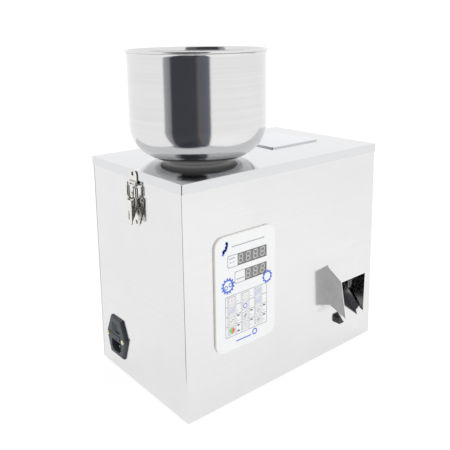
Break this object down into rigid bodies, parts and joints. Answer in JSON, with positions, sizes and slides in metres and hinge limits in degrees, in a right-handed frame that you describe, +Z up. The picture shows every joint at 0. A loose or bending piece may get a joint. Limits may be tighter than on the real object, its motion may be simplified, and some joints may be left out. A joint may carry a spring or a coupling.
{
  "type": "vibratory weigh filler",
  "caption": "Bench-top weigh filler: bowl hopper on a lift-off lid, vibrating feed tray, weigh bucket with a dump door and a hooded front chute in a sheet steel case.",
  "frame": {"origin": "centre of the case footprint, on the surface that the feet stand on", "axes": "+X along the long front face towards the chute, -Y out of the control panel side, +Z up"},
  "size_m": [0.3784, 0.2496, 0.4588],
  "materials": {
    "stainless_sheet": "polished",
    "spun_steel": "satin, spun",
    "nickel_plate": "bright",
    "zinc_steel": "satin",
    "yellow_zinc": "satin",
    "turned_aluminium": "satin",
    "spring_steel": "satin",
    "cast_block": "painted",
    "coil_and_core": "varnished",
    "black_rubber": "matte",
    "tinted_pane": "polished",
    "panel_white": "satin",
    "display_grey": "gloss",
    "lamp_dark": "gloss",
    "circuit_green": "matte",
    "sensor_black": "satin",
    "motor_grey": "satin",
    "crank_plastic": "satin",
    "inlet_grey": "satin",
    "rocker_grey": "satin",
    "pin_brass": "plated",
    "key_white": "satin"
  },
  "bodies": {
    "case": {"base_plate": "stainless_sheet", "front_panel": "stainless_sheet", "rear_panel": "stainless_sheet", "left_panel": "stainless_sheet", "right_panel": "stainless_sheet", "chute_hood": "stainless_sheet", "chute_trough": "stainless_sheet", "discharge_funnel": "stainless_sheet", "weigh_bucket": "stainless_sheet", "bucket_hanger": "stainless_sheet", "motor_bracket": "stainless_sheet", "feeder_stand": "stainless_sheet", "latch_bases": "nickel_plate", "case_fixings": "zinc_steel", "inlet_screws": "yellow_zinc", "load_cell": "turned_aluminium", "load_cell_post": "turned_aluminium", "leaf_springs": "spring_steel", "feeder_block": "cast_block", "feeder_magnet": "coil_and_core", "feet": "black_rubber", "rubber_mounts": "black_rubber", "control_overlay": "panel_white", "display_modules": "display_grey", "panel_leds": "lamp_dark", "control_board": "circuit_green", "power_board": "circuit_green", "photo_sensor": "sensor_black", "door_motor": "motor_grey", "inlet_body": "inlet_grey", "inlet_pins": "pin_brass"},
    "lid": {"lid": "stainless_sheet", "sight_pane": "tinted_pane", "hopper_bowl": "spun_steel", "outlet_tube": "spun_steel", "hopper_gasket": "black_rubber", "hopper_ring_nut": "turned_aluminium", "latch_keepers": "nickel_plate"},
    "left_lever": {"left_latch_lever": "nickel_plate"},
    "left_bail": {"left_latch_bail": "nickel_plate"},
    "right_lever": {"right_latch_lever": "nickel_plate"},
    "right_bail": {"right_latch_bail": "nickel_plate"},
    "tray": {"feeder_tray": "stainless_sheet", "feeder_carrier": "turned_aluminium"},
    "door": {"bucket_door": "stainless_sheet"},
    "crank": {"door_crank": "crank_plastic"},
    "rocker": {"power_rocker": "rocker_grey"},
    "fuse": {"fuse_drawer": "inlet_grey"},
    "cap_1_1": {"key_1_1": "key_white"},
    "cap_1_2": {"key_1_2": "key_white"},
    "cap_1_3": {"key_1_3": "key_white"},
    "cap_2_1": {"key_2_1": "key_white"},
    "cap_2_2": {"key_2_2": "key_white"},
    "cap_2_3": {"key_2_3": "key_white"},
    "cap_3_1": {"key_3_1": "key_white"},
    "cap_3_2": {"key_3_2": "key_white"},
    "cap_3_3": {"key_3_3": "key_white"},
    "cap_4_1": {"key_4_1": "key_white"},
    "cap_4_2": {"key_4_2": "key_white"},
    "cap_4_3": {"key_4_3": "key_white"}
  },
  "joints": [
    {"name": "lid_lift", "type": "slide", "parent": "case", "child": "lid", "axis": [0, 0, 1], "range_m": [0, 0.05]},
    {"name": "left_lever_turn", "type": "hinge", "parent": "case", "child": "left_lever", "pos_m": [-0.1846, -0.004, 0.272], "axis": [0, 1, 0], "range_deg": [0, 120]},
    {"name": "left_bail_turn", "type": "hinge", "parent": "left_lever", "child": "left_bail", "pos_m": [-0.1836, -0.004, 0.264], "axis": [0, 1, 0], "range_deg": [-192, 0]},
    {"name": "right_lever_turn", "type": "hinge", "parent": "case", "child": "right_lever", "pos_m": [0.1846, 0.004, 0.272], "axis": [0, -1, 0], "range_deg": [0, 120]},
    {"name": "right_bail_turn", "type": "hinge", "parent": "right_lever", "child": "right_bail", "pos_m": [0.1836, 0.004, 0.264], "axis": [0, -1, 0], "range_deg": [-192, 0]},
    {"name": "tray_shake", "type": "slide", "parent": "case", "child": "tray", "axis": [0.9192, -0.1954, 0.342], "range_m": [-0.0005, 0.0005], "stiffness_N_per_m": 20000, "deforming": ["leaf_springs"]},
    {"name": "door_swing", "type": "hinge", "parent": "case", "child": "door", "pos_m": [0.1055, -0.0675, 0.208], "axis": [-1, 0, 0], "range_deg": [0, 50]},
    {"name": "crank_turn", "type": "hinge", "parent": "case", "child": "crank", "pos_m": [0.1055, -0.0675, 0.208], "axis": [-1, 0, 0], "range_deg": [0, 50]},
    {"name": "rocker_tip", "type": "hinge", "parent": "case", "child": "rocker", "pos_m": [-0.1796, 0.06, 0.068], "axis": [0, 0, 1], "range_deg": [-18, 0]},
    {"name": "fuse_pull", "type": "slide", "parent": "case", "child": "fuse", "axis": [-1, 0, 0], "range_m": [0, 0.019]},
    {"name": "press_1_1", "type": "slide", "parent": "case", "child": "cap_1_1", "axis": [0, 1, 0], "range_m": [0, 0.00035], "stiffness_N_per_m": 2000},
    {"name": "press_1_2", "type": "slide", "parent": "case", "child": "cap_1_2", "axis": [0, 1, 0], "range_m": [0, 0.00035], "stiffness_N_per_m": 2000},
    {"name": "press_1_3", "type": "slide", "parent": "case", "child": "cap_1_3", "axis": [0, 1, 0], "range_m": [0, 0.00035], "stiffness_N_per_m": 2000},
    {"name": "press_2_1", "type": "slide", "parent": "case", "child": "cap_2_1", "axis": [0, 1, 0], "range_m": [0, 0.00035], "stiffness_N_per_m": 2000},
    {"name": "press_2_2", "type": "slide", "parent": "case", "child": "cap_2_2", "axis": [0, 1, 0], "range_m": [0, 0.00035], "stiffness_N_per_m": 2000},
    {"name": "press_2_3", "type": "slide", "parent": "case", "child": "cap_2_3", "axis": [0, 1, 0], "range_m": [0, 0.00035], "stiffness_N_per_m": 2000},
    {"name": "press_3_1", "type": "slide", "parent": "case", "child": "cap_3_1", "axis": [0, 1, 0], "range_m": [0, 0.00035], "stiffness_N_per_m": 2000},
    {"name": "press_3_2", "type": "slide", "parent": "case", "child": "cap_3_2", "axis": [0, 1, 0], "range_m": [0, 0.00035], "stiffness_N_per_m": 2000},
    {"name": "press_3_3", "type": "slide", "parent": "case", "child": "cap_3_3", "axis": [0, 1, 0], "range_m": [0, 0.00035], "stiffness_N_per_m": 2000},
    {"name": "press_4_1", "type": "slide", "parent": "case", "child": "cap_4_1", "axis": [0, 1, 0], "range_m": [0, 0.00035], "stiffness_N_per_m": 2000},
    {"name": "press_4_2", "type": "slide", "parent": "case", "child": "cap_4_2", "axis": [0, 1, 0], "range_m": [0, 0.00035], "stiffness_N_per_m": 2000},
    {"name": "press_4_3", "type": "slide", "parent": "case", "child": "cap_4_3", "axis": [0, 1, 0], "range_m": [0, 0.00035], "stiffness_N_per_m": 2000}
  ],
  "couplings": [
    {"joint": "left_lever_turn", "follows": "lid_lift", "rad_per_m": 41.88},
    {"joint": "left_bail_turn", "follows": "lid_lift", "rad_per_m": -67},
    {"joint": "right_lever_turn", "follows": "lid_lift", "rad_per_m": 41.88},
    {"joint": "right_bail_turn", "follows": "lid_lift", "rad_per_m": -67},
    {"joint": "crank_turn", "follows": "door_swing", "ratio": 1}
  ]
}
